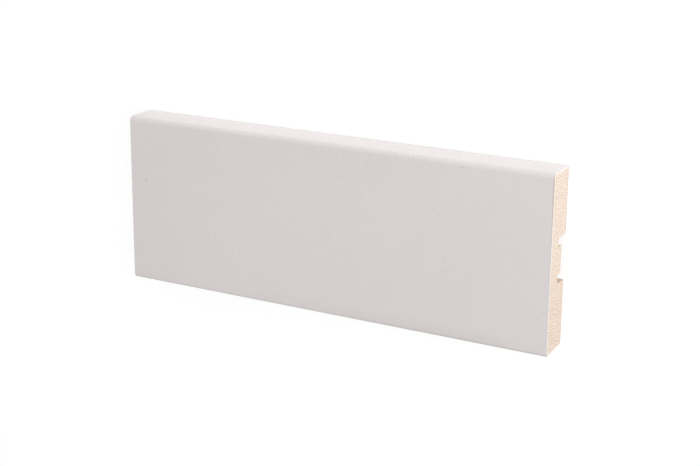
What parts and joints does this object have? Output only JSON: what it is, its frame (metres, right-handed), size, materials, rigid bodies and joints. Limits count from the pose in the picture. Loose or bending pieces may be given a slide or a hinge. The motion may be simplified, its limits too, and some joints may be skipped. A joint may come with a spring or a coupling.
{
  "type": "cover strip",
  "caption": "Short length of white foil-wrapped fibreboard cover strip with a rounded top front edge and a clip channel milled along its back.",
  "frame": {"origin": "under the middle of the strip, on the surface that it lies on", "axes": "+X along the strip, +Y from its bottom edge to its rounded top edge, +Z from the milled back to the finished face"},
  "size_m": [0.185, 0.07, 0.015],
  "materials": {
    "raw_mdf": "raw sawn and milled fibreboard",
    "white_foil": "satin white finish foil"
  },
  "bodies": {
    "root": {"mdf_core": "raw_mdf", "finish_foil": "white_foil"}
  },
  "joints": []
}
